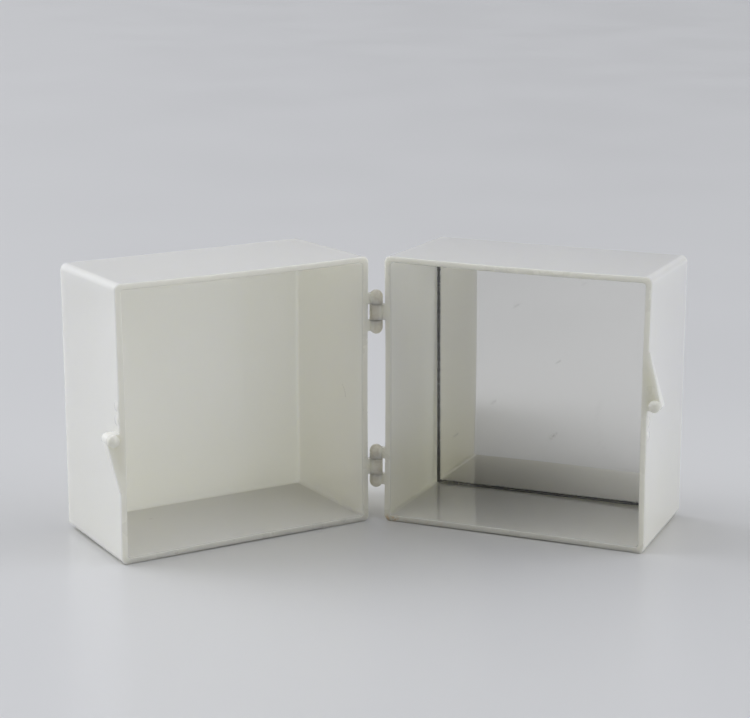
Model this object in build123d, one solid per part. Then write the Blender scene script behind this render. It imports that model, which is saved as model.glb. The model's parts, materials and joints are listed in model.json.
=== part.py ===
from build123d import *
import os
from math import cos, radians, tan

# A small square box of milky plastic that opens like a book and stands open on its side walls.
# Its two halves are the same moulding: the left one is the right one turned over, end for end.
# Each half is an open tray, with its share of two moulded hinges along one wall and a snap nose
# on the wall opposite. A square mirror is stuck to the floor of the right half with foam pads.
#
# The part's frame: +Z up along the hinge axis, -Y to the front, where both mouths face.
# The origin is on the surface the box stands on, at the middle of its footprint.
# Lengths are in millimetres, angles in degrees.
#
# A half is drawn in its own frame (u, n, z): u from the hinge axis along the rim to the far
# wall, n from the rim plane back to the closed side, z up. The hinge axis is the line u = n = 0.

# ---- the tray ----
SIDE = 76.2                     # outside of the square rim, 3 inches
DEPTH = 38.1                    # rim to the outside of the back panel, half of SIDE
WALL = 1.7                      # thickness of the side walls and of the back panel
DRAFT = 1.05                    # lean of every side wall, for release from the mould
BOW = 0.3                       # how far the middle of each side wall sinks inward at the rim
BACK_BOW = 0.05                 # the same at the back panel, which holds the walls straight
CORNER_RADIUS = 1.8             # outer corner between two side walls
INNER_CORNER_RADIUS = 0.9
BACK_RADIUS = 1.1               # outer edge between a side wall and the back panel
FLOOR_RADIUS = 0.7              # inner edge between a side wall and the back panel
RIM_EDGE_RADIUS = 0.2           # softened edges of the flat rim face
RIM_RELIEF = 0.05               # hinge axis to the rim face, so that closed rims just meet
ROOT = 0.8                      # how far anything moulded on a wall reaches into it

# ---- the hinges ----
HINGE_GAP = 2.4                 # hinge axis to the outside of the hinge wall, at the rim
HINGE_LOW = 15.9                # height of the middle of the lower hinge
HINGE_HIGH = SIDE - HINGE_LOW   # height of the middle of the upper hinge
KNUCKLE_RADIUS = 1.85
MIDDLE_KNUCKLE = 4.3            # length of the middle knuckle
OUTER_KNUCKLE = 3.95            # length of an outer knuckle, with its round end
KNUCKLE_GAP = 0.15              # play between neighbouring knuckles
PIP_RADIUS = 0.8                # pips on the middle knuckle turn in dimples in the outer ones
PIP_TIP_RADIUS = 0.6
PIP_LENGTH = 0.7
PIP_PLAY = 0.1

# ---- the snap nose, its gusset, and the bumps that the other half's nose lands between ----
NOSE_RADIUS = 1.6
NOSE_STANDOFF = 1.85            # outside of the far wall to the middle of the nose
NOSE_HEIGHT = 0.545 * SIDE      # height of the nose on the right half
NOSE_REACH = 1.0                # length of the straight nose in front of the hinge axis
NOSE_DOME = 0.8                 # height of the domed tip beyond that
NOSE_BACK = 5.0                 # rim to the round rear end
GUSSET_LENGTH = 14.5            # nose to the tip of the gusset that runs along the rim
GUSSET_TIP_DEPTH = 0.8
GUSSET_TIP_CORNER = 0.6         # rim to the start of the cut-off rear corner at the tip
GUSSET_TIP_PROUD = 0.05
BUMP_HEIGHT_UP = SIDE - NOSE_HEIGHT     # where the other half's nose lands
BUMP_SPACING = 3.8
BUMP_WIDTH = 3.1
BUMP_PROUD = 0.35
BUMP_SETBACK = 1.6              # rim to the middle of a bump

# ---- the mirror, listed from the back panel forwards ----
PAD_SIDE = 12.0
PAD_THICKNESS = 1.6
PAD_INSET = 6.0                 # edge of the mirror to the edge of a pad
BACKING_THICKNESS = 0.1
SILVERING_THICKNESS = 0.05
GLASS_THICKNESS = 2.0
MIRROR_SIDE = 70.6
MIRROR_SHIFT = 0.06             # middle of the mirror past the middle of the tray, along u
MIRROR_TURN = 0.4               # the mirror is stuck in slightly crooked

# ---- how it stands ----
OPENING = 125.6                 # angle between the two rim planes
HINGE_SETBACK = 3.25            # middle of the footprint back to the hinge axis

SLOPE = tan(radians(DRAFT))
FAR_WALL = HINGE_GAP + SIDE     # outside of the far wall at the rim, along u
MIDDLE_U = HINGE_GAP + SIDE / 2
MIDDLE_Z = SIDE / 2
FLOOR_N = DEPTH - WALL          # inside of the back panel, along n
SWING = 90 - OPENING / 2        # turn of each half from straight across


def rim_plane(n):
    """The plane across the tray at a depth n, centred on the tray."""
    return Plane(origin=(MIDDLE_U, n, MIDDLE_Z), x_dir=(1, 0, 0), z_dir=(0, 1, 0))


def bowed_square(inset, corner, bow):
    """A closed outline: a square with round corners, whose sides sink inward by the bow."""
    half = SIDE / 2 - inset
    straight = half - corner
    diagonal = straight + corner * cos(radians(45))
    edges = []
    for quarter in range(4):
        side = Edge.make_three_point_arc((-straight, -half), (0, bow - half), (straight, -half))
        turn = Edge.make_three_point_arc((straight, -half), (diagonal, -diagonal), (half, -straight))
        edges.append(side.rotate(Axis.Z, quarter * 90))
        edges.append(turn.rotate(Axis.Z, quarter * 90))
    return Wire(edges)


def drafted_block(inset, corner, start, end, end_radius):
    """A solid that narrows from a bowed square at the rim to a straighter one at its end."""
    front = rim_plane(start).from_local_coords(bowed_square(inset, corner, BOW))
    back = rim_plane(end).from_local_coords(bowed_square(inset + end * SLOPE, corner, BACK_BOW))
    block = Solid.make_loft([front, back], True)
    end_face = block.faces().sort_by(Axis.Y)[-1]
    return block.fillet(end_radius, end_face.edges())


def tray_shell():
    """The open tray alone, with a softened rim."""
    outside = drafted_block(0, CORNER_RADIUS, RIM_RELIEF, DEPTH, BACK_RADIUS)
    cavity = drafted_block(WALL, INNER_CORNER_RADIUS, RIM_RELIEF, FLOOR_N, FLOOR_RADIUS)
    shell = (outside - cavity).solid()
    rim = shell.faces().sort_by(Axis.Y)[0]
    return shell.fillet(RIM_EDGE_RADIUS, rim.edges())


def arm_profile(bottom, top, round_bottom, round_top):
    """Side view (n, z) of the arm that carries a knuckle, with the knuckle's own round ends."""
    low = bottom + KNUCKLE_RADIUS * round_bottom
    high = top - KNUCKLE_RADIUS * round_top
    middle = (low + high) / 2
    profile = Plane.YZ * Pos(KNUCKLE_RADIUS / 2, middle) * Rectangle(KNUCKLE_RADIUS, high - low)
    behind = Plane.YZ * Pos(KNUCKLE_RADIUS / 2, middle) * Rectangle(KNUCKLE_RADIUS, top - bottom)
    if round_bottom:
        profile += Plane.YZ * Pos(0, low) * Circle(KNUCKLE_RADIUS) & behind
    if round_top:
        profile += Plane.YZ * Pos(0, high) * Circle(KNUCKLE_RADIUS) & behind
    return profile


def knuckle(bottom, top, round_bottom, round_top):
    """A knuckle on the hinge axis from bottom to top, joined to the hinge wall by its arm."""
    low = bottom + KNUCKLE_RADIUS * round_bottom
    high = top - KNUCKLE_RADIUS * round_top
    barrel = Pos(0, 0, (low + high) / 2) * Cylinder(KNUCKLE_RADIUS, high - low)
    if round_bottom:
        barrel += Pos(0, 0, low) * Sphere(KNUCKLE_RADIUS)
    if round_top:
        barrel += Pos(0, 0, high) * Sphere(KNUCKLE_RADIUS)
    arm = extrude(arm_profile(bottom, top, round_bottom, round_top), HINGE_GAP + ROOT, dir=(1, 0, 0))
    arm -= Box(2 * FAR_WALL, 2 * RIM_RELIEF, 2 * SIDE)
    return barrel + arm


def pip(direction):
    """A tapered pip that starts at the origin and points up or down the hinge axis."""
    cone = Pos(0, 0, PIP_LENGTH / 2) * Cone(PIP_RADIUS, PIP_TIP_RADIUS, PIP_LENGTH)
    return cone if direction > 0 else Rot(180, 0, 0) * cone


def dimple(direction):
    """The hollow that a pip turns in, larger than the pip all round."""
    length = PIP_LENGTH + PIP_PLAY
    cone = Pos(0, 0, length / 2) * Cone(PIP_RADIUS + PIP_PLAY, PIP_TIP_RADIUS + PIP_PLAY, length)
    return cone if direction > 0 else Rot(180, 0, 0) * cone


def middle_knuckle(height):
    """The middle third of a hinge, with a pip at each end."""
    half = MIDDLE_KNUCKLE / 2
    piece = knuckle(height - half, height + half, False, False)
    piece += Pos(0, 0, height + half) * pip(1)
    piece += Pos(0, 0, height - half) * pip(-1)
    return piece


def outer_knuckles(height):
    """The two outer thirds of a hinge, each with a round end and a dimple."""
    inner_end = MIDDLE_KNUCKLE / 2 + KNUCKLE_GAP
    outer_end = inner_end + OUTER_KNUCKLE
    upper = knuckle(height + inner_end, height + outer_end, False, True)
    upper -= Pos(0, 0, height + inner_end) * dimple(1)
    lower = knuckle(height - outer_end, height - inner_end, True, False)
    lower -= Pos(0, 0, height - inner_end) * dimple(-1)
    return upper, lower


def nose():
    """The snap nose: a round bar along n with a domed tip and a round rear, on its own root."""
    rear = NOSE_BACK - NOSE_RADIUS
    dome_radius = (NOSE_RADIUS**2 + NOSE_DOME**2) / (2 * NOSE_DOME)
    bar = Pos(0, 0, (rear - NOSE_REACH) / 2) * Cylinder(NOSE_RADIUS, rear + NOSE_REACH)
    bar += Pos(0, 0, rear) * Sphere(NOSE_RADIUS)
    in_front = Pos(0, 0, -NOSE_REACH - NOSE_DOME / 2) * Cylinder(NOSE_RADIUS, NOSE_DOME)
    bar += Pos(0, 0, dome_radius - NOSE_REACH - NOSE_DOME) * Sphere(dome_radius) & in_front
    bar = Pos(FAR_WALL + NOSE_STANDOFF, 0, NOSE_HEIGHT) * Rot(-90, 0, 0) * bar

    side_view = Pos((RIM_RELIEF + rear) / 2, 0) * Rectangle(rear - RIM_RELIEF, 2 * NOSE_RADIUS)
    side_view += Pos(rear, 0) * Circle(NOSE_RADIUS)
    at_root = Plane(origin=(FAR_WALL - ROOT, 0, NOSE_HEIGHT), x_dir=(0, 1, 0), z_dir=(1, 0, 0))
    root = extrude(at_root * side_view, ROOT + NOSE_STANDOFF, dir=(1, 0, 0))
    return bar + root


def gusset():
    """The web that tapers from the nose along the rim and sinks into the wall."""
    inner = FAR_WALL - ROOT
    outer = FAR_WALL + NOSE_STANDOFF + NOSE_RADIUS
    tip = FAR_WALL + GUSSET_TIP_PROUD
    at_nose = Polyline(
        (inner, RIM_RELIEF),
        (outer, RIM_RELIEF),
        (outer, NOSE_BACK - NOSE_RADIUS),
        (outer - NOSE_RADIUS, NOSE_BACK),
        (inner, NOSE_BACK),
        close=True,
    )
    at_tip = Polyline(
        (inner, RIM_RELIEF),
        (tip, RIM_RELIEF),
        (tip, GUSSET_TIP_CORNER),
        (FAR_WALL, GUSSET_TIP_DEPTH),
        (inner, GUSSET_TIP_DEPTH),
        close=True,
    )
    wide_end = Pos(0, 0, NOSE_HEIGHT) * at_nose
    narrow_end = Pos(0, 0, NOSE_HEIGHT + GUSSET_LENGTH) * at_tip
    return Solid.make_loft([wide_end.wire(), narrow_end.wire()], True)


def bumps():
    """Two low round bumps on the far wall, one each side of where the other nose lands."""
    radius = ((BUMP_WIDTH / 2) ** 2 + BUMP_PROUD**2) / (2 * BUMP_PROUD)
    wall_face = FAR_WALL - BOW - BUMP_SETBACK * SLOPE
    outside = Pos(wall_face - ROOT / 2, BUMP_SETBACK, 0) * Box(2 * ROOT, BUMP_WIDTH, BUMP_WIDTH)
    ball = Pos(wall_face + BUMP_PROUD - radius, BUMP_SETBACK, 0) * Sphere(radius)
    cap = ball & Pos(ROOT / 2, 0, 0) * outside
    up = Pos(0, 0, BUMP_HEIGHT_UP + BUMP_SPACING / 2) * cap
    down = Pos(0, 0, BUMP_HEIGHT_UP - BUMP_SPACING / 2) * cap
    return up, down


def half_box():
    """The one moulding that both halves are."""
    half = tray_shell() + nose() + gusset() + middle_knuckle(HINGE_HIGH)
    for piece in outer_knuckles(HINGE_LOW) + bumps():
        half += piece
    return half


def mirror_plate(front, thickness):
    """A square plate the size of the mirror, with its front face at the depth given."""
    plate = Rot(0, -MIRROR_TURN, 0) * Box(MIRROR_SIDE, thickness, MIRROR_SIDE)
    return Pos(MIDDLE_U + MIRROR_SHIFT, front + thickness / 2, MIDDLE_Z) * plate


def foam_pads():
    """Four square pads near the mirror's corners, between its back and the back panel."""
    reach = MIRROR_SIDE / 2 - PAD_INSET - PAD_SIDE / 2
    centre = Pos(MIDDLE_U + MIRROR_SHIFT, FLOOR_N - PAD_THICKNESS / 2, MIDDLE_Z)
    pads = []
    for across in (-reach, reach):
        for up in (-reach, reach):
            pads.append(centre * Pos(across, 0, up) * Box(PAD_SIDE, PAD_THICKNESS, PAD_SIDE))
    return Compound(pads)


def on_right(piece):
    """Place a piece of the right half where the box stands."""
    return Pos(0, HINGE_SETBACK, 0) * Rot(0, 0, -SWING) * piece


def on_left(piece):
    """Turn a piece over end for end, and place it in the left half where the box stands."""
    return Pos(0, HINGE_SETBACK, 0) * Rot(0, 0, SWING) * Pos(0, 0, SIDE) * Rot(0, 180, 0) * piece


def all_parts():
    """Every sub-part by its name, where the box stands."""
    half = half_box()
    backing_front = FLOOR_N - PAD_THICKNESS - BACKING_THICKNESS
    silver_front = backing_front - SILVERING_THICKNESS
    glass_front = silver_front - GLASS_THICKNESS
    return {
        "left_shell": on_left(half),
        "right_shell": on_right(half),
        "mirror_glass": on_right(mirror_plate(glass_front, GLASS_THICKNESS)),
        "mirror_silvering": on_right(mirror_plate(silver_front, SILVERING_THICKNESS)),
        "mirror_backing": on_right(mirror_plate(backing_front, BACKING_THICKNESS)),
        "mirror_foam_pads": on_right(foam_pads()),
    }


os.makedirs("parts", exist_ok=True)
for name, shape in all_parts().items():
    export_step(shape, f"parts/{name}.step")
    box = shape.bounding_box()
    print(name, "from", box.min, "to", box.max)
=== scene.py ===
import json
import math

import bmesh
import bpy
from mathutils import Matrix, Vector, noise


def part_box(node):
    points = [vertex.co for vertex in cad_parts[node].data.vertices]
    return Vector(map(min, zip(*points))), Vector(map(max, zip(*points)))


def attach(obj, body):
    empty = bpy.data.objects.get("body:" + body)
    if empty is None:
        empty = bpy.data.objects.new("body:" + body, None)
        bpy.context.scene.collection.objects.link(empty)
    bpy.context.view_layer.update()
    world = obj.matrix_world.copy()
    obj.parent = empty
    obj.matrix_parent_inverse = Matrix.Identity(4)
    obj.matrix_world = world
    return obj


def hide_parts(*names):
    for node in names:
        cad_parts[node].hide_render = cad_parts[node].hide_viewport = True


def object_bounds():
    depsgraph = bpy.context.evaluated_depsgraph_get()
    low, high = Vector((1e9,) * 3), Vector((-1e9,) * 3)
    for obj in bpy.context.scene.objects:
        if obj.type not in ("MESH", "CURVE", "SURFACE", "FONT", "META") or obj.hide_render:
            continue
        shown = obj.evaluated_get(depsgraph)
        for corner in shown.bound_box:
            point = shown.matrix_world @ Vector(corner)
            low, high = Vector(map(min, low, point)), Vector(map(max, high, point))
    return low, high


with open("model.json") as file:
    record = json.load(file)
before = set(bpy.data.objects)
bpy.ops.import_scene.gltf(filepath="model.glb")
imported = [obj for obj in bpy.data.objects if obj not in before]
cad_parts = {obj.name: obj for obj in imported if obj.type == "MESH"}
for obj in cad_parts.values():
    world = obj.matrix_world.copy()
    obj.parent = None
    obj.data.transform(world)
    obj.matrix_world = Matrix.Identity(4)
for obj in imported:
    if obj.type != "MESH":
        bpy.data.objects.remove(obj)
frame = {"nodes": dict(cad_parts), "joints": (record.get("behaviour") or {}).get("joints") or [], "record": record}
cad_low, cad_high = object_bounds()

# A small square box of milky plastic, open like a book, with a mirror on the floor of its right half.
# Metres throughout; lengths that are easier to read in millimetres are multiplied by MM.
# Each half has its own directions: u from the hinge along the rim, n from the rim back to the closed
# side, and z up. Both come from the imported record, and so does the hinge axis.

MM = 0.001

scene = bpy.context.scene
nodes = frame["nodes"]
hinge = Vector(frame["joints"][0]["pos_m"])
hinge_foot = Vector((hinge.x, hinge.y, cad_low.z))


def mount_axis(name):
    """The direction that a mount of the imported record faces."""
    return Vector(next(m["axis"] for m in frame["record"]["mounts"] if m["name"] == name))


right_n = mount_axis("right_back_face")
left_n = mount_axis("left_back_face")
right_u = Vector((right_n.y, -right_n.x, 0))
left_u = Vector((-left_n.y, left_n.x, 0))


def in_right(u, n, z):
    """A point of the right half, from its distances along u, n and z in millimetres."""
    return hinge_foot + (right_u * u + right_n * n + Vector((0, 0, z))) * MM


def in_left(u, n, z):
    """A point of the left half, from its distances along u, n and z in millimetres."""
    return hinge_foot + (left_u * u + left_n * n + Vector((0, 0, z))) * MM


# ------------------------------------------------------------------------------------ node helpers


def new_material(name):
    """A material with one Principled shader; returns it, its node tree and the shader."""
    material = bpy.data.materials.new(name)
    material.use_nodes = True
    tree = material.node_tree
    tree.nodes.clear()
    output = tree.nodes.new("ShaderNodeOutputMaterial")
    shader = tree.nodes.new("ShaderNodeBsdfPrincipled")
    tree.links.new(shader.outputs["BSDF"], output.inputs["Surface"])
    return material, tree, shader


def add(tree, kind, inputs, output=0, **settings):
    """Adds a node, sets or links its inputs by name or number, and returns one of its outputs."""
    made = tree.nodes.new("ShaderNode" + kind)
    for key, value in settings.items():
        setattr(made, key, value)
    for key, value in inputs.items():
        plug(tree, made.inputs[key], value)
    return made.outputs[output]


def plug(tree, socket, value):
    """Links a value to a socket if it is another node's output, and sets it otherwise."""
    if isinstance(value, bpy.types.NodeSocket):
        tree.links.new(value, socket)
    elif isinstance(value, (Vector, tuple)) and len(value) == 3 and socket.type == "RGBA":
        socket.default_value = (*value, 1)
    else:
        socket.default_value = value


def math_node(tree, operation, a, b=0.0):
    return add(tree, "Math", {0: a, 1: b}, operation=operation)


def dot(tree, point, direction):
    """How far a point is along a direction."""
    inputs = {0: point, 1: tuple(direction)}
    return add(tree, "VectorMath", inputs, "Value", operation="DOT_PRODUCT")


def position(tree):
    """The surface point in the piece's own coordinates, which don't change when the piece moves."""
    return add(tree, "TexCoord", {}, "Object")


def noise_field(tree, point, size, detail=2.0, roughness=0.5):
    """Smooth noise from 0 to 1 whose blobs are about `size` across, in metres."""
    inputs = {"Vector": point, "Scale": 1 / size, "Detail": detail, "Roughness": roughness}
    return add(tree, "TexNoise", inputs)


def ramp(tree, value, start, end, low=0.0, high=1.0):
    """A smooth step: `low` where value is at start, `high` where it is at end."""
    inputs = {"Value": value, "From Min": start, "From Max": end, "To Min": low, "To Max": high}
    return add(tree, "MapRange", inputs, interpolation_type="SMOOTHSTEP")


def mix_color(tree, share, first, second):
    made = tree.nodes.new("ShaderNodeMix")
    made.data_type = "RGBA"
    plug(tree, made.inputs["Factor"], share)
    plug(tree, [s for s in made.inputs if s.name == "A" and s.type == "RGBA"][0], first)
    plug(tree, [s for s in made.inputs if s.name == "B" and s.type == "RGBA"][0], second)
    return [s for s in made.outputs if s.type == "RGBA"][0]


def bump(tree, height, distance, under=None):
    """A bump of height 0 to 1 times distance, in metres, on top of another bump."""
    inputs = {"Height": height, "Distance": distance}
    if under is not None:
        inputs["Normal"] = under
    return add(tree, "Bump", inputs)


def spot(tree, point, centre, radius):
    """1 at a point of the surface, falling to 0 at the radius."""
    away = add(tree, "VectorMath", {0: point, 1: tuple(centre)}, "Value", operation="DISTANCE")
    return ramp(tree, away, radius, 0.0)


# --------------------------------------------------------------------------------------- materials

PLASTIC_COLOR = (0.955, 0.941, 0.85)
PLASTIC_CLOUD = (0.945, 0.929, 0.835)
KNUCKLE_SHADE_COLOR = (0.6, 0.565, 0.48)       # painted shade: the solid knuckles look darker in the light, so their colour is darkened
RIM_SHADE_COLOR = (0.66, 0.65, 0.58)           # and painted shade on the rim, a little
WARM_LOW_TONE = (0.93, 0.878, 0.7)
WARM_TONE_HEIGHT = 45 * MM                 # the colour turns warmer and a little darker from the bottom up to here
PLASTIC_IOR = 1.59                      # polystyrene
PLASTIC_FREE_PATH = 5.0 * MM            # how far light goes in it before it scatters
PLASTIC_SPREAD = (1.0, 1.0, 0.9)        # blue light goes less far in it
PLASTIC_ROUGHNESS = 0.03
CLOUD_SIZE = 35 * MM
HAZE_SIZE = 12 * MM                     # the gloss varies over this distance
WAVE_SIZE, WAVE_HEIGHT = 30 * MM, 0.012 * MM
PEEL_SIZE, PEEL_HEIGHT = 0.9 * MM, 0.0006 * MM
SHADE_MOTTLE_SIZE = 1.1 * MM                  # blotches in the knuckles' painted shade
KNUCKLE_REACH = 1.8 * MM                # the knuckles' painted shade ends this far out from the hinge axis
KNUCKLE_CORE = 1.1 * MM                 # and is full up to here
RIM_DEPTH = 0.9 * MM                    # the rim's painted shade fades out over this depth, and so does its wear
RIM_SHADE_SHARE = 0.75
RIM_WEAR = 0.25                         # added to the roughness on the rim
SCRATCH_COUNT = 70.0                    # possible scratches in a metre
SCRATCH_WANDER = 6 * MM                 # how far they bend
SCRATCH_DEPTH = 0.002 * MM
SCRATCH_WEAR = 0.1                      # added to the roughness in a scratch
SCRATCH_WIDTH = 0.006                   # as a share of the distance between them
SCRATCH_LENGTH = 9 * MM


def stained(tree, point, color, marks):
    """Blends small stains into a colour; each is (centre, radius, stain colour, share at its middle)."""
    for centre, radius, stain, share in marks:
        blotch = noise_field(tree, point, 0.4 * radius, 4.0, 0.7)
        uneven = ramp(tree, blotch, 0.35, 0.6)
        patch = math_node(tree, "MULTIPLY", spot(tree, point, centre, radius), uneven)
        color = mix_color(tree, math_node(tree, "MULTIPLY", patch, share), color, stain)
    return color


def scratches(tree, point, count, direction):
    """Fine straight scratches: 1 in a scratch, 0 elsewhere. They run across the direction given."""
    wander = noise_field(tree, point, 20 * MM, 1.0)
    wander = math_node(tree, "MULTIPLY", wander, SCRATCH_WANDER)
    shifted = math_node(tree, "ADD", dot(tree, point, direction), wander)
    stripe = math_node(tree, "FRACT", math_node(tree, "MULTIPLY", shifted, count))
    off_line = math_node(tree, "ABSOLUTE", math_node(tree, "SUBTRACT", stripe, 0.5))
    thin = ramp(tree, off_line, SCRATCH_WIDTH, 0.0)
    broken = ramp(tree, noise_field(tree, point, SCRATCH_LENGTH, 2.0), 0.6, 0.68)
    return math_node(tree, "MULTIPLY", thin, broken)


def distance_along(tree, point, direction):
    """How far a point is from the hinge axis in a level direction."""
    from_axis = add(tree, "VectorMath", {0: point, 1: tuple(hinge)}, operation="SUBTRACT")
    return dot(tree, from_axis, direction)


def plastic_color(tree, point, marks, outward, on_rim, low_warmth):
    """The plastic's colour: clouds, warmer towards the bottom, painted shade on rim and knuckles, and stains."""
    clouds = ramp(tree, noise_field(tree, point, CLOUD_SIZE, 3.0), 0.35, 0.7)
    color = mix_color(tree, clouds, PLASTIC_COLOR, PLASTIC_CLOUD)
    height = dot(tree, point, (0, 0, 1))
    # warmer and a little darker towards the bottom
    color = mix_color(tree, ramp(tree, height, WARM_TONE_HEIGHT, 0.0, 0.0, low_warmth), color, WARM_LOW_TONE)
    # painted shade: blotchy darkening of the knuckles' colour
    shade_mottle = ramp(tree, noise_field(tree, point, SHADE_MOTTLE_SIZE, 3.0, 0.6), 0.3, 0.65, 0.55, 1.0)
    knuckle_shade = ramp(tree, distance_along(tree, point, outward), KNUCKLE_REACH, KNUCKLE_CORE)
    # painted shade: the rim and the knuckles are darkened in colour
    color = mix_color(tree, math_node(tree, "MULTIPLY", on_rim, RIM_SHADE_SHARE), color, RIM_SHADE_COLOR)
    color = mix_color(tree, math_node(tree, "MULTIPLY", knuckle_shade, shade_mottle), color, KNUCKLE_SHADE_COLOR)
    return stained(tree, point, color, marks)


def plastic(name, marks, outward, inward, low_warmth):
    """Milky polystyrene: glossy, translucent, faintly clouded, with handling marks and painted shade on the rim
    and knuckles.

    Outward and inward are the half's own directions u and n; the last argument is the share of the warmer tone at
    the bottom.
    """
    material, tree, shader = new_material(name)
    point = position(tree)
    on_rim = ramp(tree, distance_along(tree, point, inward), RIM_DEPTH, RIM_DEPTH / 9)
    color = plastic_color(tree, point, marks, outward, on_rim, low_warmth)
    haze = noise_field(tree, point, HAZE_SIZE, 4.0, 0.6)
    gloss = ramp(tree, haze, 0.3, 0.75, 0.7 * PLASTIC_ROUGHNESS, 1.4 * PLASTIC_ROUGHNESS)
    scuffs = scratches(tree, point, SCRATCH_COUNT, outward + Vector((0, 0, 0.4)))
    scuffed = math_node(tree, "MULTIPLY", scuffs, SCRATCH_WEAR)
    worn = math_node(tree, "ADD", scuffed, math_node(tree, "MULTIPLY", on_rim, RIM_WEAR))
    surface = bump(tree, noise_field(tree, point, WAVE_SIZE, 1.0), WAVE_HEIGHT)
    surface = bump(tree, noise_field(tree, point, PEEL_SIZE, 2.0), PEEL_HEIGHT, surface)
    surface = bump(tree, scuffs, -SCRATCH_DEPTH, surface)
    plug(tree, shader.inputs["Base Color"], color)
    plug(tree, shader.inputs["Roughness"], math_node(tree, "ADD", gloss, worn))
    plug(tree, shader.inputs["Normal"], surface)
    shader.inputs["IOR"].default_value = PLASTIC_IOR
    shader.inputs["Subsurface Weight"].default_value = 1.0
    shader.inputs["Subsurface Radius"].default_value = PLASTIC_SPREAD
    shader.inputs["Subsurface Scale"].default_value = PLASTIC_FREE_PATH
    shader.subsurface_method = "RANDOM_WALK"
    return material


GLASS_COLOR = (0.99, 0.99, 0.985)
DUST_COLOR = (0.45, 0.43, 0.39)
GLASS_IOR = 1.52
DUST_SIZE, DUST_SHARE = 0.35 * MM, 0.25
SMUDGE_SIZE, SMUDGE_ROUGHNESS = 14 * MM, 0.01
EDGE_PAINT_AND_SHADE = (0.015, 0.012, 0.009)    # dark paint run over the cut edge, which also serves as painted shade for the narrow gap beside the pane
BARE_EDGE = (0.8, 0.78, 0.72)
BARE_MIDDLE = 2 * MM                    # the paint is worn most at this height above the pane's middle,
BARE_CORE, BARE_REACH = 8 * MM, 22 * MM  # fully this far from it and no more this far
BARE_DASH = 0.8 * MM
CUT_CHIPS = 0.03 * MM                   # depth of the cut edge's unevenness


def glass(marks):
    """The polished faces of the mirror's pane, with smudges and small marks, as (centre, radius, share)."""
    material, tree, shader = new_material("clear_glass")
    point = position(tree)
    grain = ramp(tree, noise_field(tree, point, 0.5 * MM, 3.0, 0.6), 0.42, 0.6)
    specks = ramp(tree, noise_field(tree, point, DUST_SIZE, 1.0), 0.80, 0.84)
    dust = math_node(tree, "MULTIPLY", specks, DUST_SHARE)
    for centre, radius, share in marks:
        patch = math_node(tree, "MULTIPLY", spot(tree, point, centre, radius), grain)
        dust = math_node(tree, "MAXIMUM", dust, math_node(tree, "MULTIPLY", patch, share))
    smudge = noise_field(tree, point, SMUDGE_SIZE, 5.0, 0.6)
    smudge = ramp(tree, smudge, 0.58, 0.72, 0.0, SMUDGE_ROUGHNESS)
    rough = math_node(tree, "ADD", smudge, math_node(tree, "MULTIPLY", dust, 0.3))
    plug(tree, shader.inputs["Base Color"], mix_color(tree, dust, GLASS_COLOR, DUST_COLOR))
    plug(tree, shader.inputs["Roughness"], rough)
    plug(tree, shader.inputs["Transmission Weight"], math_node(tree, "SUBTRACT", 1.0, dust))
    shader.inputs["IOR"].default_value = GLASS_IOR
    return material


def cut_glass():
    """The cut edges of the pane: rough, and dark where paint has run over them, in dashes halfway up. The dark is
    partly painted shade for the narrow gap between the pane and the tray.
    """
    material, tree, shader = new_material("cut_glass")
    point = position(tree)
    parts = tree.nodes.new("ShaderNodeSeparateXYZ")
    plug(tree, parts.inputs[0], point)
    above = math_node(tree, "SUBTRACT", parts.outputs["Z"], BARE_MIDDLE)
    worn = ramp(tree, math_node(tree, "ABSOLUTE", above), BARE_REACH, BARE_CORE, 0.0, 0.22)
    dashes = noise_field(tree, point, BARE_DASH, 3.0, 0.65)
    bare = ramp(tree, math_node(tree, "ADD", dashes, worn), 0.54, 0.6)
    # dark edge: partly paint, partly painted shade of the gap beside the pane
    plug(tree, shader.inputs["Base Color"], mix_color(tree, bare, EDGE_PAINT_AND_SHADE, BARE_EDGE))
    plug(tree, shader.inputs["Normal"], bump(tree, dashes, CUT_CHIPS))
    shader.inputs["Roughness"].default_value = 0.4
    shader.inputs["IOR"].default_value = GLASS_IOR
    return material


SILVER_COLOR = (0.95, 0.943, 0.915)
TARNISH_COLOR = (0.02, 0.017, 0.013)
SPECKLE_REACH = 1.3 * MM                # how far in from the mirror's edge the silver is speckled
SPECKLE_SIZE = 0.35 * MM
SPECKLE_SHARE = 0.42                    # how much likelier the edge makes them


def silver(half):
    """Silvering that has gone dark in small spots near its edge."""
    material, tree, shader = new_material("silver")
    point = position(tree)
    parts = tree.nodes.new("ShaderNodeSeparateXYZ")
    plug(tree, parts.inputs[0], point)
    across = math_node(tree, "ABSOLUTE", parts.outputs["X"])
    up = math_node(tree, "ABSOLUTE", parts.outputs["Z"])
    inward = math_node(tree, "SUBTRACT", half, math_node(tree, "MAXIMUM", across, up))
    near_edge = ramp(tree, inward, SPECKLE_REACH, 0.0)
    grain = noise_field(tree, point, SPECKLE_SIZE, 3.0, 0.6)
    speckle = math_node(tree, "ADD", grain, math_node(tree, "MULTIPLY", near_edge, SPECKLE_SHARE))
    dark = ramp(tree, speckle, 0.74, 0.80)
    plug(tree, shader.inputs["Base Color"], mix_color(tree, dark, SILVER_COLOR, TARNISH_COLOR))
    plug(tree, shader.inputs["Metallic"], math_node(tree, "SUBTRACT", 1.0, dark))
    plug(tree, shader.inputs["Roughness"], ramp(tree, dark, 0.0, 1.0, 0.0, 0.5))
    return material


PAINT_DARK = (0.01, 0.008, 0.006)
PAINT_WORN = (0.028, 0.023, 0.018)
PAINT_GRAIN, PAINT_BUMP = 1.2 * MM, 0.01 * MM
PAINT_SPECULAR = 0.15                   # the glass in front of it takes most of its sheen


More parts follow.
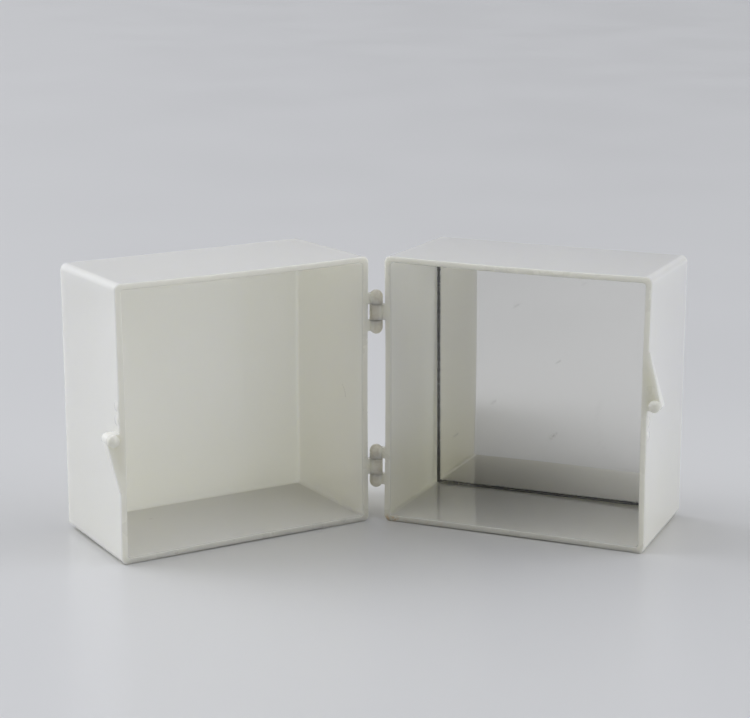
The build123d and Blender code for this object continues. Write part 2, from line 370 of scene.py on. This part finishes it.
def backing_paint():
    """Dark protective paint behind the silver."""
    material, tree, shader = new_material("backing_paint")
    point = position(tree)
    grain = noise_field(tree, point, PAINT_GRAIN, 4.0, 0.6)
    plug(tree, shader.inputs["Base Color"], mix_color(tree, grain, PAINT_DARK, PAINT_WORN))
    plug(tree, shader.inputs["Roughness"], ramp(tree, grain, 0.3, 0.7, 0.45, 0.7))
    plug(tree, shader.inputs["Normal"], bump(tree, grain, PAINT_BUMP))
    shader.inputs["Specular IOR Level"].default_value = PAINT_SPECULAR
    return material


FOAM_CELL, FOAM_PITS = 0.3 * MM, 0.08 * MM
FOAM_PALE = (0.86, 0.85, 0.81)
# painted shade in the hollows of the foam's cells
FOAM_HOLLOW_SHADE = (0.62, 0.6, 0.56)


def foam():
    """White foam tape with fine open cells, with painted shade in their hollows."""
    material, tree, shader = new_material("foam")
    point = position(tree)
    cells = add(tree, "TexVoronoi", {"Vector": point, "Scale": 1 / FOAM_CELL})
    # darker in the cells' hollows: painted shade
    plug(tree, shader.inputs["Base Color"], mix_color(tree, cells, FOAM_HOLLOW_SHADE, FOAM_PALE))
    plug(tree, shader.inputs["Normal"], bump(tree, cells, FOAM_PITS))
    shader.inputs["Roughness"].default_value = 0.85
    return material


FLOOR_COLOR = (0.69, 0.694, 0.701)
FLOOR_ROUGHNESS = 0.3
FLOOR_PATCH = 120 * MM


def floor_paper():
    """A plain pale floor with a low sheen and a very faint unevenness."""
    material, tree, shader = new_material("floor_paper")
    point = position(tree)
    patches = noise_field(tree, point, FLOOR_PATCH, 4.0, 0.55)
    dim = tuple(0.985 * c for c in FLOOR_COLOR)
    plug(tree, shader.inputs["Base Color"], mix_color(tree, patches, dim, FLOOR_COLOR))
    rough = ramp(tree, patches, 0.3, 0.7, FLOOR_ROUGHNESS, 1.15 * FLOOR_ROUGHNESS)
    plug(tree, shader.inputs["Roughness"], rough)
    return material


def set_materials(piece, *materials):
    piece.data.materials.clear()
    for material in materials:
        piece.data.materials.append(material)


# ------------------------------------------------------------------------------------------ pieces


def new_piece(name, mesh_data, matrix, body, *materials):
    """Turns a bmesh into a piece of the object that rides on a body."""
    mesh = bpy.data.meshes.new(name)
    bmesh.ops.recalc_face_normals(mesh_data, faces=mesh_data.faces)
    mesh_data.to_mesh(mesh)
    mesh_data.free()
    piece = bpy.data.objects.new(name, mesh)
    scene.collection.objects.link(piece)
    piece.matrix_world = matrix
    set_materials(piece, *materials)
    for face in mesh.polygons:
        face.material_index = min(face.material_index, len(materials) - 1)
    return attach(piece, body)


def plate_of(node):
    """A square CAD plate of the right half as (matrix, half side, half thickness).

    The matrix stands a plate drawn with x across, y back and z up where the CAD plate is.
    """
    points = [v.co for v in nodes[node].data.vertices]
    low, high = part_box(node)
    centre = (low + high) / 2
    half_thickness = max((p - centre).dot(right_n) for p in points)
    corner = max(((p - centre) for p in points), key=lambda d: d.dot(right_u) + d.z)
    half_side = math.hypot(corner.dot(right_u), corner.z) / math.sqrt(2)
    turn = math.atan2(corner.z, corner.dot(right_u)) - math.radians(45)
    stand = Matrix((right_u, right_n, Vector((0, 0, 1)))).transposed().to_4x4()
    return Matrix.Translation(centre) @ stand @ Matrix.Rotation(-turn, 4, "Y"), half_side, half_thickness


def along(profile, share):
    """A value read from a short list of values spread evenly from share 0 to share 1."""
    place = share * (len(profile) - 1)
    first = min(int(place), len(profile) - 2)
    return profile[first] + (profile[first + 1] - profile[first]) * (place - first)


def turned(point, quarters):
    """A point of the plane, turned about the origin by quarter turns."""
    for _ in range(quarters):
        point = Vector((-point.y, point.x))
    return point


def ragged_square(half, sides, step, tooth, seed):
    """Outline (x, z) of a square whose edge is eaten away by the margins given for its four sides.

    The sides are lists of margins, evenly spaced, for the bottom from the hinge outward, the far
    side upward, the top back to the hinge and the hinge side downward. Tooth is the size of the
    fine raggedness on top of them.
    """
    count = round(2 * half / step)
    points = []
    for side, margins in enumerate(sides):
        start = sides[side - 1][-1] - half
        length = 2 * half - sides[side - 1][-1] - sides[(side + 1) % 4][0]
        for i in range(count):
            share = i / count
            grain = noise.noise(Vector((share * half / tooth, 10.0 * side, seed)))
            bite = max(0.0, along(margins, share) + tooth * grain)
            points.append(turned(Vector((start + share * length, bite - half)), side))
    return points


def fan(made, ring):
    """Closes a ring of vertices with triangles to its middle."""
    middle = made.verts.new((0, ring[0].co.y, 0))
    for i in range(len(ring)):
        made.faces.new((middle, ring[i], ring[(i + 1) % len(ring)]))


def band(made, ring, following):
    """Joins two rings with quads, which take the second material."""
    for i in range(len(ring)):
        j = (i + 1) % len(ring)
        made.faces.new((ring[i], ring[j], following[j], following[i])).material_index = 1


def slab(outline, front, back, arris):
    """A bmesh of a flat plate between two depths, with a narrow arris round both faces."""
    made = bmesh.new()
    reach = max(max(abs(p.x), abs(p.y)) for p in outline)
    inner = (reach - arris) / reach
    rings = []
    for depth, scale in ((front, inner), (front + arris, 1.0), (back - arris, 1.0), (back, inner)):
        rings.append([made.verts.new((p.x * scale, depth, p.y * scale)) for p in outline])
    fan(made, rings[0])
    fan(made, rings[-1])
    for ring, following in zip(rings, rings[1:]):
        band(made, ring, following)
    return made


RUST = (0.60, 0.40, 0.20)
GRIME = (0.66, 0.57, 0.46)
PENCIL = (0.30, 0.29, 0.26)

# Small stains, as (centre, radius, colour, share): rusty dirt at the foot of the right rim, fading
# along its lower edge; on the left, a speck on the bottom wall and a short line on the hinge wall.
RIGHT_MARKS = [
    (in_right(3.4, 0.1, 0.2), 2.3 * MM, RUST, 0.9),
    (in_right(5.8, 0.1, 0.4), 2.2 * MM, RUST, 0.85),
    (in_right(8.8, 0.0, 0.1), 1.9 * MM, GRIME, 0.7),
    (in_right(12.0, 0.0, 0.1), 2.2 * MM, GRIME, 0.6),
    (in_right(15.8, 0.0, 0.1), 2.4 * MM, GRIME, 0.5),
    (in_right(19.6, 0.0, 0.1), 2.4 * MM, GRIME, 0.4),
]
LEFT_MARKS = [
    (in_left(57.6, 26.8, 1.9), 1.1 * MM, GRIME, 0.45),
    (in_left(55.9, 26.3, 1.9), 0.7 * MM, GRIME, 0.3),
]
for i in range(6):
    LEFT_MARKS.append((in_left(4.3, 9.4 + 0.06 * i**2, 34.6 + 0.6 * i), 0.5 * MM, PENCIL, 0.6))

GLASS_FRONT = 32.65                     # the pane's front face, back from the rim, in millimetres

# Marks on the pane, as (u, z, radius, share), in millimetres.
GLASS_MARKS = [
    (22.5, 28.6, 0.8, 0.35),
    (40.6, 20.2, 0.9, 0.4),
    (41.6, 20.9, 0.7, 0.3),
    (42.1, 42.4, 0.7, 0.2),
    (29.1, 57.9, 1.0, 0.18),
    (49.3, 65.7, 0.8, 0.15),
    (10.8, 17.3, 0.9, 0.2),
]
SMEAR_STEPS = 9                         # marks in the faint curved smear, which joins these three places
SMEAR_RADIUS, SMEAR_SHARE = 0.9, 0.07
SMEAR = (Vector((55.1, 32.3)), Vector((52.0, 24.0)), Vector((57.0, 16.2)))

LAYER_GAP = 0.01 * MM                   # air between the mirror's layers, so that no two faces coincide
PANE_ARRIS = 0.03 * MM
CUT_TOOTH = 0.02 * MM                   # raggedness of the pane's and the paint's edges
SILVER_TOOTH = 0.12 * MM                # and of the silver's

# How far the silver ends short of the pane's edges, in millimetres, each list evenly spaced: from
# the hinge outward, upward, back to the hinge and downward.
# The dark backing left showing there is partly worn silver and partly painted shade for the narrow gap between the
# pane and the tray.
SILVER_BOTTOM = (0.0, 0.02, 0.38, 0.42, 0.42, 0.42, 0.45)
SILVER_FAR = (0.5, 0.4, 0.5)
SILVER_TOP = (0.5, 0.5, 0.6)
SILVER_HINGE = (0.2, 0.25, 0.05, 0.02, 0.06, 0.25, 0.3)


def smear_marks():
    """Faint marks along the smear's curve, as (u, z, radius, share)."""
    first, middle, last = SMEAR
    marks = []
    for i in range(SMEAR_STEPS):
        t = i / (SMEAR_STEPS - 1)
        place = first * (1 - t) ** 2 + middle * 2 * t * (1 - t) + last * t**2
        marks.append((place.x, place.y, SMEAR_RADIUS, SMEAR_SHARE))
    return marks


def make_pane():
    """The pane: clear polished faces, cut edges with small irregularities."""
    matrix, half, depth = plate_of("mirror_glass")
    to_pane = matrix.inverted()
    marks = []
    for u, z, radius, share in GLASS_MARKS + smear_marks():
        marks.append((to_pane @ in_right(u, GLASS_FRONT, z), radius * MM, share))
    even = (CUT_TOOTH, CUT_TOOTH)
    outline = ragged_square(half, [even] * 4, 0.5 * MM, CUT_TOOTH, 3.0)
    mesh_data = slab(outline, -depth, depth - LAYER_GAP, PANE_ARRIS)
    pane = new_piece("mirror_pane", mesh_data, matrix, "right_half", glass(marks), cut_glass())
    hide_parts("mirror_glass")


def make_silvering():
    """The silver coat, worn back unevenly from the edges of the pane."""
    matrix, half, depth = plate_of("mirror_silvering")
    margins = (SILVER_BOTTOM, SILVER_FAR, SILVER_TOP, SILVER_HINGE)
    sides = [tuple(x * MM for x in side) for side in margins]
    outline = ragged_square(half, sides, SILVER_TOOTH, SILVER_TOOTH, 11.0)
    mesh_data = slab(outline, -depth, depth - LAYER_GAP, 0.25 * depth)
    coat = new_piece("mirror_silver_coat", mesh_data, matrix, "right_half", silver(half))
    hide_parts("mirror_silvering")


def make_backing():
    """The paint behind the silver, nearly out to the edges of the pane."""
    matrix, half, depth = plate_of("mirror_backing")
    even = (0.0, 0.0)
    outline = ragged_square(half, [even] * 4, 0.3 * MM, CUT_TOOTH, 23.0)
    mesh_data = slab(outline, -depth, depth - LAYER_GAP, 0.25 * depth)
    paint = new_piece("mirror_backing_coat", mesh_data, matrix, "right_half", backing_paint())
    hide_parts("mirror_backing")


FOAM_SQUEEZE = 0.35 * MM                # how far the foam's cut sides sink in between its two films
FOAM_CORNER = 0.5 * MM
FOAM_UNEVEN = 0.1 * MM
FOAM_STEPS = 24
FOAM_LAYERS = 8
FOAM_NAMES = ("low_hinge", "high_hinge", "low_far", "high_far")


def pad_outline(half, sink, seed):
    """A square outline with round corners and slightly uneven sides, sunk in by the length given."""
    corner = FOAM_CORNER
    points = []
    for side in range(4):
        for i in range(FOAM_STEPS):
            x = (2 * i / FOAM_STEPS - 1) * half
            over = min(corner, max(0.0, abs(x) - (half - corner)))
            reach = half - corner + math.sqrt(corner**2 - over**2)
            uneven = FOAM_UNEVEN * noise.noise(Vector((6 * i / FOAM_STEPS, 9.0 * side, seed)))
            points.append(turned(Vector((x, sink + uneven - reach)), side))
    return points


def foam_block(half, depth, seed):
    """A bmesh of a square of foam tape: flat films front and back, and cut sides that sink in."""
    made = bmesh.new()
    rings = []
    for layer in range(FOAM_LAYERS + 1):
        across = 2 * layer / FOAM_LAYERS - 1
        outline = pad_outline(half, FOAM_SQUEEZE * (1 - across**2) + FOAM_UNEVEN, seed + 0.3 * layer)
        rings.append([made.verts.new((p.x, across * depth, p.y)) for p in outline])
    fan(made, rings[0])
    fan(made, rings[-1])
    for ring, following in zip(rings, rings[1:]):
        band(made, ring, following)
    return made


def box_along(points, axes):
    """Middle and half sizes of the box round some points, along three axes."""
    spans = [(min(p.dot(axis) for p in points), max(p.dot(axis) for p in points)) for axis in axes]
    middle = sum((axis * (low + high) / 2 for axis, (low, high) in zip(axes, spans)), Vector((0, 0, 0)))
    return middle, [(high - low) / 2 for low, high in spans]


def make_pads():
    """Four squares of foam tape between the mirror and the tray, each as a piece of its own."""
    axes = (right_u, right_n, Vector((0, 0, 1)))
    points = [v.co for v in nodes["mirror_foam_pads"].data.vertices]
    middle, _ = box_along(points, axes)
    stand = Matrix(axes).transposed().to_4x4()
    material = foam()
    for index, name in enumerate(FOAM_NAMES):
        far, high = index >= 2, index % 2 == 1
        own = [p for p in points if ((p - middle).dot(right_u) > 0) == far and (p.z > middle.z) == high]
        centre, (half, depth, _) = box_along(own, axes)
        mesh_data = foam_block(half, depth - 2 * LAYER_GAP, 5.0 * index)
        matrix = Matrix.Translation(centre) @ stand
        pad = new_piece("foam_pad_" + name, mesh_data, matrix, "right_half", material)
        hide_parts("mirror_foam_pads")


# shares of the warmer, darker tone at the bottom of each half
LEFT_LOW_WARMTH, RIGHT_LOW_WARMTH = 0.12, 0.5

make_pane()
make_silvering()
make_backing()
make_pads()
left_plastic = plastic("white_plastic_left", LEFT_MARKS, left_u, left_n, LEFT_LOW_WARMTH)
right_plastic = plastic("white_plastic_right", RIGHT_MARKS, right_u, right_n, RIGHT_LOW_WARMTH)
set_materials(nodes["left_shell"], left_plastic)
set_materials(nodes["right_shell"], right_plastic)

# ------------------------------------------------------------------------------------------- stage


FLOOR_RADIUS = 8.0


def make_floor():
    """A wide round floor under the box."""
    mesh_data = bmesh.new()
    bmesh.ops.create_circle(mesh_data, cap_ends=True, radius=FLOOR_RADIUS, segments=96)
    mesh = bpy.data.meshes.new("floor")
    mesh_data.to_mesh(mesh)
    mesh_data.free()
    floor = bpy.data.objects.new("floor", mesh)
    scene.collection.objects.link(floor)
    floor.location.z = cad_low.z
    set_materials(floor, floor_paper())


LIGHT_COLOR = (0.98, 0.99, 1.024)


def towards(azimuth, elevation):
    """A unit vector up into the studio: azimuth 0 is the front, 90 the right, 180 the back."""
    a, e = math.radians(azimuth), math.radians(elevation)
    return Vector((math.sin(a) * math.cos(e), -math.cos(a) * math.cos(e), math.sin(e)))


def disc(tree, ray, azimuth, elevation, outer, inner):
    """1 in a round patch of the studio, fading to 0 between the inner and outer angles from its middle."""
    facing = dot(tree, ray, towards(azimuth, elevation))
    return ramp(tree, facing, math.cos(math.radians(outer)), math.cos(math.radians(inner)))


def studio(lobes, dark, panel):
    """Soft light from all round: wide lobes given by (azimuth, elevation, sharpness, strength).

    Dark is a patch that they don't reach and panel a small light, both given by (azimuth, elevation,
    outer angle, inner angle, strength).
    """
    world = bpy.data.worlds.new("studio")
    scene.world = world
    world.use_nodes = True
    tree = world.node_tree
    ray = add(tree, "TexCoord", {}, "Generated")
    total = 0.0
    for azimuth, elevation, sharpness, strength in lobes:
        facing = dot(tree, ray, towards(azimuth, elevation))
        lobe = math_node(tree, "POWER", math_node(tree, "MAXIMUM", facing, 0.0), sharpness)
        total = math_node(tree, "ADD", math_node(tree, "MULTIPLY", lobe, strength), total)
    unlit = math_node(tree, "MULTIPLY", disc(tree, ray, *dark[:4]), dark[4])
    total = math_node(tree, "MULTIPLY", total, math_node(tree, "SUBTRACT", 1.0, unlit))
    lit = math_node(tree, "MULTIPLY", disc(tree, ray, *panel[:4]), panel[4])
    total = math_node(tree, "ADD", total, lit)
    background = tree.nodes["Background"]
    background.inputs["Color"].default_value = (*LIGHT_COLOR, 1)
    plug(tree, background.inputs["Strength"], total)


SOFT_LIGHTS = [                         # (azimuth, elevation, sharpness, strength)
    (250, 30, 12, 2.8),                 # the key, on the left
    (270, 50, 6, 0.8),                  # the same, softer
    (270, 75, 6, 0.94),                 # overhead
    (90, 50, 6, 0.36),                  # high on the right
    (90, 15, 6, 2.15),                  # low on the right
    (225, 15, 6, 0.56),                 # behind on the left, which shines through the walls
    (180, 15, 6, 0.12),                 # behind
    (160, 20, 30, 0.24),
    (190, 16, 30, 0.24),
    (45, 50, 6, 0.4),                   # in front on the right
]
DARK_CORNER = (292, 12, 36, 20, 0.85)   # the unlit side of the studio, in front on the left
FRONT_PANEL = (330, 20, 17, 11, 0.5)    # a small light beside it

make_floor()
studio(SOFT_LIGHTS, DARK_CORNER, FRONT_PANEL)

# ------------------------------------------------------------------------------------------ camera

CAMERA_FROM_HINGE = Vector((-39.32, -583.84, 149.96)) * MM
CAMERA_YAW = 3.82                       # degrees to the right of straight ahead
CAMERA_PITCH = 13.575                   # degrees below level
CAMERA_LENS = 103.67


def make_camera():
    """The camera, placed from the hinge axis."""
    data = bpy.data.cameras.new("camera")
    data.sensor_width = 36
    data.lens = CAMERA_LENS
    data.clip_start, data.clip_end = 0.01, 100
    camera = bpy.data.objects.new("camera", data)
    scene.collection.objects.link(camera)
    camera.location = hinge + CAMERA_FROM_HINGE
    look = -towards(-CAMERA_YAW, CAMERA_PITCH)
    camera.rotation_mode = "QUATERNION"
    camera.rotation_quaternion = look.to_track_quat("-Z", "Y")
    bpy.context.scene.camera = camera


make_camera()
scene.view_settings.view_transform = "Standard"
scene.cycles.max_bounces = 24
scene.cycles.diffuse_bounces = 8
scene.cycles.glossy_bounces = 12
scene.cycles.transmission_bounces = 12
